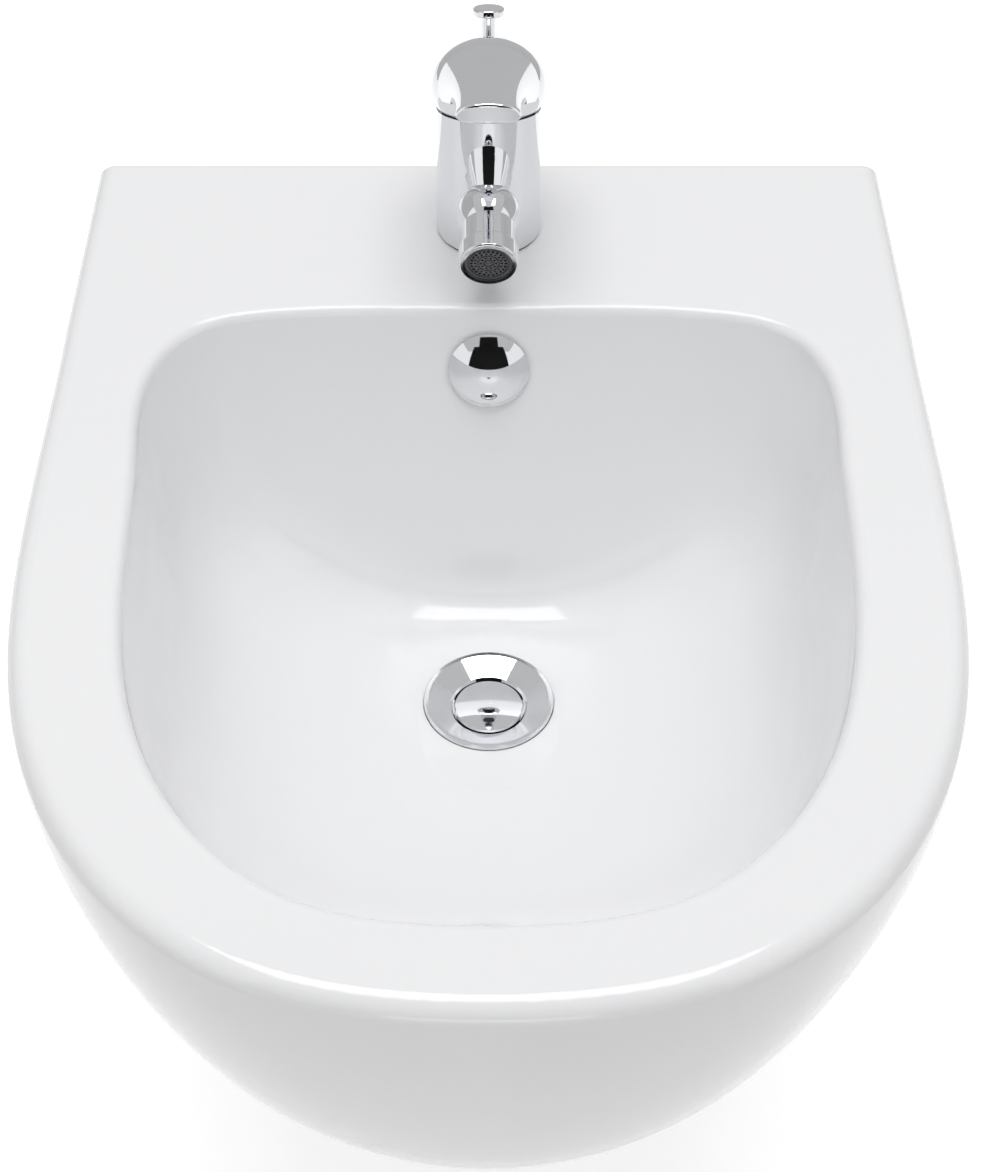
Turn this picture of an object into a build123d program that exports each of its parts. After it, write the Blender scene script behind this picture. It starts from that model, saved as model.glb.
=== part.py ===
from build123d import *
from math import asin, cos, pi, radians, sin, sqrt, tan
import os

os.makedirs("parts", exist_ok=True)

# A wall hung bidet: one hollow ceramic basin with a single-lever mixer on its back ledge,
# a pop-up waste worked by the lift rod behind the mixer, and an overflow in the back wall.
# Millimetres. +Z is up, the wall face is the plane Y = 0 and the basin reaches towards -Y.
# The origin is midway between the two wall fixings, on the wall face.

# Ceramic basin
rim_height = 80.0            # rim plane above the wall fixings
rim_width = 360.0
hull_bulge = 3.0             # how far each side swells below the rim
hull_reach = 470.0           # wall to the foremost point
hull_depth = 265.0           # rim to the underside
hull_nose_centre = 198.0     # wall to the centre of the nose ellipse
hull_nose_drop = 276.0       # vertical semi-axis of the nose ellipse
hull_side_drop = 299.0       # vertical semi-axis of the side ellipse
swell_depth = 15.0           # rim to the fullest section
side_swell_depth = 30.0
plan_power_top = 2.41        # how square the front is in plan, at the rim
plan_power_bottom = 1.95
plan_start_top = 245.0       # wall to where the straight sides end, at the rim
plan_start_bottom = 130.0
ceramic_wall = 12.0
rim_edge_round = 8.0
hull_bottom_round = 9.0
ledge_thickness = 16.0

# Bowl hollow
bowl_back = 108.0            # wall to the back edge of the bowl
bowl_front = 434.0           # wall to the front edge of the bowl
bowl_width = 290.0
bowl_middle = 205.0          # wall to the widest line of the bowl
bowl_back_power = 5.5        # how square the back corners are in plan
bowl_front_power = 2.7
floor_power = 2.1
bowl_back_lean = 14.0        # degrees of the back wall from upright
bowl_side_lean = 5.0
bowl_floor = 147.0           # rim to the flat round the waste
basin_radius = 180.0         # cross radius of the basin floor
basin_bottom = 150.0         # rim to the lowest line of that radius
basin_centre = 214.0         # wall to the middle of the basin floor
crease_softness = 6.0        # rounding where the back wall meets the floor
bowl_edge_round = 5.0

# Wall fixings
fixing_spacing = 180.0
fixing_bore = 13.0
sleeve_flange = 30.0
sleeve_outer = 20.0
sleeve_flange_thickness = 3.0
pad_thickness = 18.0
pad_inner = 55.0             # centre line to the inner side of each wall pad
pad_drop = 200.0             # rim to the foot of each wall pad
slip_clearance = 0.3

# Tap hole and mixer body
tap_reach = 48.0             # wall to the tap axis
tap_hole = 35.0
body_base_diameter = 46.0
body_top_diameter = 45.0
base_gasket_thickness = 1.0
seam_height = 62.8           # rim to the handle pivot
handle_lean = 15.0           # degrees, the handle axis leans back to the wall
seam_gap = 0.35              # body to pivot plane, and pivot plane to handle skirt
inlet_offset = 9.0
inlet_advance = 1.0          # inlets sit this far to the wall side of the axis
inlet_thread = 10.0
inlet_depth = 12.0
stud_diameter = 8.0
stud_advance = 12.5          # stud to the front of the axis
stud_length = 58.0
stud_engagement = 12.0
passage_diameter = 5.0       # water ways drilled between inlets, cartridge and nozzle
passage_drop = 8.0           # end of the ball's shank to the cartridge chamber
running_clearance = 0.06

# Cartridge
cartridge_diameter = 26.0
cartridge_length = 16.0
cartridge_top = -1.0         # below the pivot plane
cartridge_nut_outer = 32.0
cartridge_nut_bore = 20.0
cartridge_nut_height = 7.0
cartridge_neck_diameter = 19.6
rotor_diameter = 14.0
rotor_height = 9.0
spindle_side = 6.0
spindle_reach = 25.0         # pivot to the top of the spindle
spindle_tail = 6.0

# Handle
dome_radius = 24.7
dome_rise = 20.0             # vertical semi-axis of the dome
dome_centre = 9.0            # above the pivot plane
skirt_cavity_radius = 20.9
shroud_radius = 20.2
shroud_wall = 1.4
shroud_top = 13.0
skirt_relief = 24.0          # degrees, the back of the skirt is cut away
lever_reach = 86.0
lever_tip_reach = 119.5      # wall to the foremost point of the lever
lever_tip_bow = 45.0         # plan radius of its end face
lever_tip_width = 28.0
lever_tip_height = 9.0
lever_tip_top = 26.0
hub_radius = 7.0
hub_bottom = 12.5
grub_diameter = 5.0
grub_length = 8.0

# Spout, ball joint and aerator
spout_drop_angle = 12.0      # degrees below level, the way the nozzle points
nozzle_face_reach = 110.0    # wall to the aerator face
nozzle_face_height = 24.4    # rim to the centre of the aerator face
collar_length = 8.5
collar_diameter = 25.6
barrel_diameter = 23.0
barrel_length = 12.0
ball_radius = 13.7
ball_wall = 2.4
ball_mouth = 8.5
ball_shank_diameter = 9.0
ball_shank_length = 7.0
ball_shank_bore = 5.0
barrel_stem_diameter = 10.0
barrel_bore = 6.0
neck_root_reach = 57.0       # wall to the root of the neck, inside the body
neck_root_height = 57.5      # rim to the root of the neck
neck_root_radius = 10.8
neck_middle_radius = 9.4
neck_end_radius = 6.5
neck_end_setback = 10.0      # ball centre to the end of the neck
aerator_diameter = 20.4
aerator_depth = 10.7
aerator_head_depth = 7.0
aerator_tail_radius = 8.5
thread_depth = 4.5           # how far the aerator screws into the barrel

# Lift rod
rod_lean = 16.0              # degrees, the rod leans back to the wall
rod_foot_reach = 34.0        # wall to the rod where it passes the rim plane
rod_diameter = 3.5
rod_above = 82.0             # along the rod, from the rim plane to the knob's stem
rod_hole = 5.0
knob_diameter = 14.0
knob_thickness = 3.6
knob_stem_diameter = 6.0
knob_stem_length = 9.0

# Waste
waste_reach = 202.0
waste_hole = 46.0
flange_diameter = 58.0
flange_recess = 1.6          # the flange sits this far below the bowl floor
flange_dish = 4.5            # how deep the cone of the flange drops
waste_throat = 32.4
waste_seat_bore = 27.0
waste_seat_depth = 6.0
flange_gasket_thickness = 1.0
waste_tube_length = 96.0
upper_tube_length = 40.0
plug_diameter = 31.0
plug_thickness = 3.0
plug_crown = 1.2
plug_stem_diameter = 7.0
plug_seal_thickness = 1.0
port_drop = 212.0            # rim to the pivot of the ball rod
pivot_reach = 30.0           # waste axis to the pivot
pivot_ball_diameter = 10.0
pivot_rod_diameter = 5.0
linkage_bore = 7.5           # loose holes round the ball rod
port_boss_diameter = 20.0
cap_nut_across = 24.0
tail_diameter = 41.9         # thread of the outlet
tail_thread_length = 18.0
tail_tube_diameter = 39.0
back_nut_across = 56.0
back_nut_height = 9.0
cone_washer_height = 7.0

# Overflow
overflow_drop = 28.0         # rim to the centre of the overflow cap
overflow_cap_diameter = 35.0
overflow_cap_rise = 6.5
overflow_hole = 24.0


def finish(piece, name):
    """Name one finished piece and write its file."""
    piece.part.label = name
    export_step(piece.part, f"parts/{name}.step")


def superellipse(half_width, start, reach, power, steps=8):
    """Points of a rounded end in plan, from the right side round the front to the left."""
    points = []
    for step in range(steps + 1):
        turn = pi * step / steps
        across, along = round(cos(turn), 9), round(sin(turn), 9)
        side = 1 if across > 0 else -1
        x = side * half_width * abs(across) ** (2 / power)
        y = -(start + (reach - start) * along ** (2 / power))
        points.append((x, y))
    return points


def hull_sizes(depth):
    """Half width, reach, start of the rounded front and its power at one depth."""
    side_fall = max(0.0, depth - side_swell_depth) / hull_side_drop
    if depth < side_swell_depth:
        half = rim_width / 2 + hull_bulge * sin(pi / 2 * depth / side_swell_depth)
    else:
        half = (rim_width / 2 + hull_bulge) * sqrt(1 - side_fall ** 2)
    nose_fall = max(0.0, depth - swell_depth) / hull_nose_drop
    reach = hull_nose_centre + (hull_reach - hull_nose_centre) * sqrt(1 - nose_fall ** 2)
    share = depth / hull_depth
    start = plan_start_top + (plan_start_bottom - plan_start_top) * share
    power = plan_power_top + (plan_power_bottom - plan_power_top) * share
    return half, reach, start, power


def hull_section(depth, wall=0.0, behind=0.0):
    """D-shaped section of the hull, or of its hollow when a wall is given."""
    half, reach, start, power = hull_sizes(min(depth, hull_depth))
    with BuildSketch(Plane.XY.offset(rim_height - depth)) as outline:
        with BuildLine():
            side = half - wall
            runs = [-start * share for share in (0.5, 0.75)]
            nose = superellipse(side, start, reach - wall, power)
            Spline(*[(side, y) for y in runs], *nose, *[(-side, y) for y in runs[::-1]])
            Polyline((-side, runs[0]), (-side, behind), (side, behind), (side, runs[0]))
        make_face()
    return outline.sketch


def soft_least(a, b, softness):
    """The smaller of two values, rounded where they cross."""
    return (a + b - sqrt((a - b) ** 2 + softness ** 2)) / 2


def bowl_sizes(depth):
    """Half width, back and front of the bowl at one depth, with its two plan powers."""
    lift = basin_radius - basin_bottom
    share = sqrt(1 - ((depth + lift) / basin_radius) ** 2)
    lid_share = sqrt(1 - (lift / basin_radius) ** 2)
    basin_reach = (bowl_front - basin_centre) / lid_share
    upright = bowl_width / 2 - depth * tan(radians(bowl_side_lean))
    half = soft_least(upright, basin_radius * share, 4 * crease_softness)
    lean_back = bowl_back + depth * tan(radians(bowl_back_lean))
    back = -soft_least(-lean_back, basin_reach * share - basin_centre, crease_softness)
    front = basin_centre + basin_reach * share
    deep = (depth / bowl_floor) ** 3
    back_power = bowl_back_power + (floor_power - bowl_back_power) * deep
    front_power = bowl_front_power + (floor_power - bowl_front_power) * deep
    return half, back, front, back_power, front_power


def bowl_section(depth, wall=0.0):
    """Plan of the bowl at one depth, grown outwards and downwards by the wall."""
    half, back, front, back_power, front_power = bowl_sizes(depth)
    middle = bowl_middle + (basin_centre - bowl_middle) * depth / bowl_floor
    drop = depth * (1 + wall / bowl_floor)
    with BuildSketch(Plane.XY.offset(rim_height - drop)) as outline:
        with BuildLine():
            nose = superellipse(half + wall, middle, front + wall, front_power)
            heel = superellipse(half + wall, middle, back - wall, back_power)
            Spline(*nose[:-1], *heel[:0:-1], periodic=True)
        make_face()
    return outline.sketch


# Ceramic basin: hull, hollow behind and under the bowl, bowl, holes
hull_stations = (0, 15, 60, 110, 160, 215, hull_depth)
hollow_stations = (ledge_thickness, 60, 110, 160, 215, hull_depth + 1)
bowl_stations = (0, 30, 60, 90, 115, 132, 142, bowl_floor)
pad_outer = rim_width / 2 + 10
fixing_plane = Plane.XZ
tap_y = -tap_reach
waste_y = -waste_reach
flange_seat = rim_height - bowl_floor - flange_recess
overflow_y = -(bowl_back + overflow_drop * tan(radians(bowl_back_lean)))
overflow_z = rim_height - overflow_drop
overflow_plane = Plane(
    origin=(0, overflow_y, overflow_z),
    x_dir=(1, 0, 0),
    z_dir=(0, -cos(radians(bowl_back_lean)), sin(radians(bowl_back_lean))),
)

with BuildPart() as service_space:
    loft([hull_section(depth, ceramic_wall, 1.0) for depth in hollow_stations])
    loft([bowl_section(depth, ceramic_wall) for depth in bowl_stations], mode=Mode.SUBTRACT)
    with BuildSketch(Plane.XY.offset(rim_height)):
        with Locations(
            ((pad_inner + pad_outer) / 2, -pad_thickness / 2),
            (-(pad_inner + pad_outer) / 2, -pad_thickness / 2),
        ):
            Rectangle(pad_outer - pad_inner, pad_thickness)
    extrude(amount=-pad_drop, mode=Mode.SUBTRACT)

with BuildPart() as ceramic_basin:
    loft([hull_section(depth) for depth in hull_stations])
    rim_face = ceramic_basin.faces().sort_by(Axis.Z)[-1]
    foot_face = ceramic_basin.faces().sort_by(Axis.Z)[0]
    fillet(rim_face.edges().filter_by(lambda e: e.center().Y < -1), radius=rim_edge_round)
    foot_face = ceramic_basin.faces().sort_by(Axis.Z)[0]
    fillet(foot_face.edges().filter_by(lambda e: e.center().Y < -1), radius=hull_bottom_round)
    add(service_space.part, mode=Mode.SUBTRACT)
    loft([bowl_section(depth) for depth in bowl_stations], mode=Mode.SUBTRACT)
    rim_face = ceramic_basin.faces().filter_by(Axis.Z).sort_by(Axis.Z)[-1]
    fillet(rim_face.inner_wires()[0].edges(), radius=bowl_edge_round)
    with Locations(Plane.XY.offset(rim_height)):
        with Locations((0, tap_y)):
            Hole(tap_hole / 2, depth=2 * ledge_thickness)
    with BuildSketch(Plane.XY.offset(rim_height - bowl_floor + 8)):
        with Locations((0, waste_y)):
            Circle(flange_diameter / 2 + slip_clearance)
    extrude(amount=-8 - flange_recess, mode=Mode.SUBTRACT)
    with BuildSketch(Plane.XY.offset(rim_height - bowl_floor)):
        with Locations((0, waste_y)):
            Circle(waste_hole / 2)
    extrude(amount=-2.5 * ceramic_wall, mode=Mode.SUBTRACT)
    with BuildSketch(overflow_plane.offset(4)):
        Circle(overflow_hole / 2)
    extrude(amount=-3 * ceramic_wall, mode=Mode.SUBTRACT)
    with BuildSketch(fixing_plane):
        with Locations((-fixing_spacing / 2, 0), (fixing_spacing / 2, 0)):
            Circle(sleeve_outer / 2 + slip_clearance)
    extrude(amount=pad_thickness * 1.5, mode=Mode.SUBTRACT)
finish(ceramic_basin, "ceramic_basin")

# Wall fixing sleeves: a flanged plastic bush in each wall pad
for side, name in ((-1, "fixing_sleeve_left"), (1, "fixing_sleeve_right")):
    with BuildPart() as sleeve:
        with BuildSketch(fixing_plane):
            with Locations((side * fixing_spacing / 2, 0)):
                Circle(sleeve_outer / 2)
        extrude(amount=pad_thickness)
        with BuildSketch(fixing_plane.offset(pad_thickness)):
            with Locations((side * fixing_spacing / 2, 0)):
                Circle(sleeve_flange / 2)
        extrude(amount=sleeve_flange_thickness)
        fillet(sleeve.edges().group_by(Axis.Y)[0], radius=0.8)
        with BuildSketch(fixing_plane):
            with Locations((side * fixing_spacing / 2, 0)):
                Circle(fixing_bore / 2)
        extrude(amount=pad_thickness + sleeve_flange_thickness, mode=Mode.SUBTRACT)
    finish(sleeve, name)

# Overflow: a domed cap on three prongs that spring into a plastic lining of the hole
overflow_lining_wall = 1.6
overflow_lining_depth = 16.0
overflow_cap_gap = 1.5       # the slot under the cap's rim that lets water in
with BuildPart() as overflow_lining:
    with BuildSketch(overflow_plane.offset(-0.6 - overflow_lining_depth)):
        Circle(overflow_hole / 2 - slip_clearance)
        Circle(overflow_hole / 2 - slip_clearance - overflow_lining_wall, mode=Mode.SUBTRACT)
    extrude(amount=overflow_lining_depth)
finish(overflow_lining, "overflow_lining")


cap_half = overflow_cap_diameter / 2
cap_radius = (cap_half ** 2 + overflow_cap_rise ** 2) / (2 * overflow_cap_rise)
cap_sink = cap_radius - overflow_cap_rise
prong_radius = overflow_hole / 2 - slip_clearance - overflow_lining_wall
cap_profile = Plane(
    origin=overflow_plane.origin, x_dir=overflow_plane.x_dir, z_dir=-overflow_plane.y_dir
)
with BuildPart() as overflow_cap:
    with BuildSketch(cap_profile):
        with BuildLine():
            crown = overflow_cap_gap + overflow_cap_rise
            shoulder = overflow_cap_gap + sqrt(cap_radius ** 2 - (cap_half / 2) ** 2) - cap_sink
            ThreePointArc((0, crown), (cap_half / 2, shoulder), (cap_half, overflow_cap_gap))
            Polyline((cap_half, overflow_cap_gap), (0, overflow_cap_gap), (0, crown))
        make_face()
    revolve(axis=Axis(overflow_plane.origin, overflow_plane.z_dir))
    with BuildSketch(overflow_plane.offset(overflow_cap_gap)):
        with PolarLocations(prong_radius / 2, 3, start_angle=90):
            Rectangle(prong_radius + 2, 6)
        Circle(prong_radius - running_clearance, mode=Mode.INTERSECT)
        Circle(prong_radius - 1.6, mode=Mode.SUBTRACT)
    extrude(amount=-overflow_lining_depth + 4)
finish(overflow_cap, "overflow_cap")

# Waste: dished flange with its threaded upper tube, seated on the bowl floor
waste_axis = Axis((0, waste_y, 0), (0, 0, 1))
flange_base = flange_seat + flange_gasket_thickness
waste_plane = Plane(origin=(0, waste_y, flange_base), x_dir=(1, 0, 0), z_dir=(0, -1, 0))
flange_half = flange_diameter / 2
upper_outer = waste_hole / 2 - 1.5
cone_foot = 2.6 - flange_dish


def waste_ring(inner, outer, top, height):
    """A plain ring round the waste axis, hung from a height above the flange base."""
    with BuildPart() as ring:
        with BuildSketch(Plane.XY.offset(flange_base + top)):
            with Locations((0, waste_y)):
                Circle(outer)
                Circle(inner, mode=Mode.SUBTRACT)
        extrude(amount=-height)
    return ring.part


with BuildPart() as waste_flange:
    with BuildSketch(waste_plane):
        with BuildLine():
            throat = waste_throat / 2
            Polyline(
                (waste_seat_bore / 2, -upper_tube_length),
                (upper_outer, -upper_tube_length),
                (upper_outer, 0),
                (flange_half - 0.5, 0),
                (flange_half, 0.6),
                (flange_half, 2.0),
                (flange_half - 0.7, 2.8),
                (flange_half - 2.2, 2.6),
                (throat + 1.0, cone_foot),
                (throat, cone_foot - 1.0),
                (throat, -waste_seat_depth),
                (waste_seat_bore / 2, -waste_seat_depth),
                close=True,
            )
        make_face()
    revolve(axis=waste_axis)
finish(waste_flange, "waste_flange")

with BuildPart() as flange_gasket:
    add(waste_ring(upper_outer + slip_clearance, flange_half - 2, 0, flange_gasket_thickness))
finish(flange_gasket, "waste_flange_gasket")

# Waste: cone washer and back nut that draw the flange down from below
skin_under = -(bowl_floor + ceramic_wall) + bowl_floor + flange_recess - flange_gasket_thickness
with BuildPart() as cone_washer:
    with BuildSketch(waste_plane):
        with BuildLine():
            Polyline(
                (upper_outer + 0.1, skin_under),
                (flange_half - 1, skin_under),
                (upper_outer + 3.5, skin_under - cone_washer_height),
                (upper_outer + 0.1, skin_under - cone_washer_height),
                close=True,
            )
        make_face()
    revolve(axis=waste_axis)
finish(cone_washer, "waste_cone_washer")

nut_top = skin_under - cone_washer_height
with BuildPart() as back_nut:
    with BuildSketch(Plane.XY.offset(flange_base + nut_top)):
        with Locations((0, waste_y)):
            RegularPolygon(back_nut_across / 2, 6, major_radius=False)
            Circle(upper_outer + running_clearance, mode=Mode.SUBTRACT)
    extrude(amount=-back_nut_height)
    chamfer(back_nut.faces().sort_by(Axis.Z)[0].outer_wire().edges(), length=1.2)
finish(back_nut, "waste_back_nut")

# Waste: lower body with its outlet tail and the side port for the ball rod
body_top = nut_top - back_nut_height - 0.5
body_socket_foot = -upper_tube_length - 2
port_z = rim_height - port_drop
tail_half = tail_diameter / 2
pivot_y = waste_y + pivot_reach
with BuildPart() as waste_body:
    with BuildSketch(waste_plane):
        with BuildLine():
            Polyline(
                (upper_outer + running_clearance, body_top),
                (upper_outer + 3.5, body_top),
                (upper_outer + 3.5, body_socket_foot),
                (tail_tube_diameter / 2, body_socket_foot - 3),
                (tail_tube_diameter / 2, tail_thread_length - waste_tube_length),
                (tail_half, tail_thread_length - waste_tube_length),
                (tail_half, -waste_tube_length),
                (waste_throat / 2, -waste_tube_length),
                (waste_throat / 2, body_socket_foot),
                (upper_outer + running_clearance, body_socket_foot),
                close=True,
            )
        make_face()
    revolve(axis=waste_axis)
    with BuildSketch(Plane(origin=(0, pivot_y + 3, port_z), x_dir=(1, 0, 0), z_dir=(0, -1, 0))):
        Circle(port_boss_diameter / 2)
    extrude(amount=pivot_reach + 3 - waste_throat / 2 - 2)
    with BuildSketch(Plane(origin=(0, pivot_y + 3, port_z), x_dir=(1, 0, 0), z_dir=(0, -1, 0))):
        Circle(pivot_ball_diameter / 2 + slip_clearance)
    extrude(amount=3 + pivot_ball_diameter / 2 + slip_clearance, mode=Mode.SUBTRACT)
    with BuildSketch(Plane(origin=(0, pivot_y, port_z), x_dir=(1, 0, 0), z_dir=(0, -1, 0))):
        Circle(pivot_ball_diameter / 2 - 0.1)
    extrude(amount=pivot_reach, mode=Mode.SUBTRACT)
finish(waste_body, "waste_body")

# Waste: cap nut that holds the ball of the rod in the port
with BuildPart() as port_cap:
    with BuildSketch(Plane(origin=(0, pivot_y + 3, port_z), x_dir=(1, 0, 0), z_dir=(0, 1, 0))):
        RegularPolygon(cap_nut_across / 2, 6, major_radius=False)
    extrude(amount=6)
    with BuildSketch(Plane(origin=(0, pivot_y + 3, port_z), x_dir=(1, 0, 0), z_dir=(0, 1, 0))):
        Circle(pivot_ball_diameter / 2 + slip_clearance)
    extrude(amount=2.4, mode=Mode.SUBTRACT)
    with BuildSketch(Plane(origin=(0, pivot_y + 3, port_z), x_dir=(1, 0, 0), z_dir=(0, 1, 0))):
        Circle(pivot_ball_diameter / 2 - 0.9)
    extrude(amount=6, mode=Mode.SUBTRACT)
finish(port_cap, "waste_port_cap")

# Ball rod: pivots in the port, lifts the plug at one end and hangs from the lift rod at the other
lean = radians(rod_lean)
rod_end_reach = rod_foot_reach + port_drop * tan(lean)
with BuildPart() as ball_rod:
    with BuildSketch(Plane(origin=(0, waste_y - 6, port_z), x_dir=(1, 0, 0), z_dir=(0, 1, 0))):
        Circle(pivot_rod_diameter / 2)
    extrude(amount=waste_reach + 6 - rod_end_reach + 14)
    with Locations((0, pivot_y, port_z)):
        Sphere(pivot_ball_diameter / 2)
finish(ball_rod, "waste_ball_rod")

# Plug: crowned cap on a stem whose eye rides on the ball rod, with a flat seal under the cap
plug_half = plug_diameter / 2
plug_base = -waste_seat_depth + plug_seal_thickness
stem_half = plug_stem_diameter / 2
with BuildPart() as waste_plug:
    with BuildSketch(waste_plane):
        with BuildLine():
            plug_edge = plug_base + plug_thickness
            ThreePointArc(
                (0, plug_edge + plug_crown),
                (plug_half * 0.6, plug_edge + plug_crown * 0.62),
                (plug_half - 0.6, plug_edge),
            )
            Polyline(
                (plug_half - 0.6, plug_edge),
                (plug_half, plug_edge - 0.8),
                (plug_half, plug_base),
                (stem_half, plug_base),
                (stem_half, port_z - flange_base + 6),
                (0, port_z - flange_base + 6),
                (0, plug_edge + plug_crown),
            )
        make_face()
    revolve(axis=waste_axis)
    with BuildSketch(Plane(origin=(0, waste_y - 3, port_z), x_dir=(1, 0, 0), z_dir=(0, 1, 0))):
        SlotCenterToCenter(8, 15, rotation=90)
    extrude(amount=6)
    with BuildSketch(Plane(origin=(0, waste_y - 3, port_z), x_dir=(1, 0, 0), z_dir=(0, 1, 0))):
        Circle(linkage_bore / 2)
    extrude(amount=6, mode=Mode.SUBTRACT)
finish(waste_plug, "waste_plug")

with BuildPart() as plug_seal:
    add(waste_ring(stem_half + slip_clearance, plug_half - 0.5, plug_base, plug_seal_thickness))
finish(plug_seal, "waste_plug_seal")

# Lift rod, its knob and the clamp that joins it to the ball rod
rod_dir = Vector(0, sin(lean), cos(lean))
rod_foot = Vector(0, -rod_foot_reach, rim_height)
rod_plane = Plane(origin=rod_foot, x_dir=(1, 0, 0), z_dir=rod_dir)
clamp_run = port_drop / cos(lean)
rod_clear = 7.0              # ball rod axis to the end of the lift rod
with BuildPart() as lift_rod:
    with BuildSketch(rod_plane.offset(rod_clear - clamp_run)):
        Circle(rod_diameter / 2)
    extrude(amount=clamp_run - rod_clear + rod_above)
finish(lift_rod, "lift_rod")

knob_bore_depth = 5.0
with BuildPart() as lift_knob:
    with BuildSketch(rod_plane.offset(rod_above - knob_bore_depth)):
        Circle(knob_stem_diameter / 2)
    extrude(amount=knob_bore_depth + knob_stem_length)
    with BuildSketch(rod_plane.offset(rod_above + knob_stem_length - knob_thickness)):
        Circle(knob_diameter / 2)
    extrude(amount=knob_thickness)
    disc_edges = lift_knob.edges().filter_by(
        lambda e: e.geom_type == GeomType.CIRCLE and e.radius > knob_diameter / 2 - 0.1
    )
    fillet(disc_edges, radius=1.1)
    with BuildSketch(rod_plane.offset(rod_above - knob_bore_depth)):
        Circle(rod_diameter / 2)
    extrude(amount=knob_bore_depth, mode=Mode.SUBTRACT)
finish(lift_knob, "lift_knob")

clamp_plane = rod_plane.offset(-clamp_run)
clamp_side = 13.0
screw_height = 15.0
with BuildPart() as rod_clamp:
    with BuildSketch(clamp_plane.offset(-7.5)):
        RectangleRounded(clamp_side, clamp_side, 2.5)
    extrude(amount=7.5 + 22)
    with BuildSketch(clamp_plane.offset(rod_clear)):
        Circle(rod_diameter / 2)
    extrude(amount=16, mode=Mode.SUBTRACT)
    cross_start = -rod_end_reach - clamp_side
    with BuildSketch(Plane(origin=(0, cross_start, port_z), x_dir=(1, 0, 0), z_dir=(0, 1, 0))):
        Circle(linkage_bore / 2)
    extrude(amount=2 * clamp_side, mode=Mode.SUBTRACT)
    screw_seat = clamp_plane.offset(screw_height)
    with BuildSketch(Plane(origin=screw_seat.origin, x_dir=(0, 1, 0), z_dir=(1, 0, 0))):
        Circle(2.0)
    extrude(amount=clamp_side, mode=Mode.SUBTRACT)
finish(rod_clamp, "rod_clamp")

with BuildPart() as clamp_screw:
    side_plane = Plane(origin=screw_seat.origin, x_dir=(0, 1, 0), z_dir=(1, 0, 0))
    with BuildSketch(side_plane.offset(rod_diameter / 2)):
        Circle(2.0 - running_clearance)
    extrude(amount=clamp_side / 2 - rod_diameter / 2 + 0.5)
    with BuildSketch(side_plane.offset(clamp_side / 2)):
        RegularPolygon(4.6, 12)
    extrude(amount=5)
finish(clamp_screw, "rod_clamp_screw")

# Mixer: frames for the pivot of the handle and for the ball of the nozzle
handle_tilt = radians(handle_lean)
pivot_plane = Plane(
    origin=(0, tap_y, rim_height + seam_height),
    x_dir=(1, 0, 0),
    z_dir=(0, sin(handle_tilt), cos(handle_tilt)),
)
handle_profile = Plane(origin=pivot_plane.origin, x_dir=(1, 0, 0), z_dir=-pivot_plane.y_dir)
handle_axis = Axis(pivot_plane.origin, pivot_plane.z_dir)
nozzle_tilt = radians(spout_drop_angle)
nozzle_dir = Vector(0, -cos(nozzle_tilt), -sin(nozzle_tilt))
face_centre = Vector(0, -nozzle_face_reach, rim_height + nozzle_face_height)
barrel_cup_radius = ball_radius + 0.3
cup_advance = sqrt(barrel_cup_radius ** 2 - (barrel_diameter / 2) ** 2)
ball_setback = collar_length + barrel_length + cup_advance
ball_centre = face_centre - nozzle_dir * ball_setback
nozzle_plane = Plane(origin=ball_centre, x_dir=(1, 0, 0), z_dir=nozzle_dir)

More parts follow.
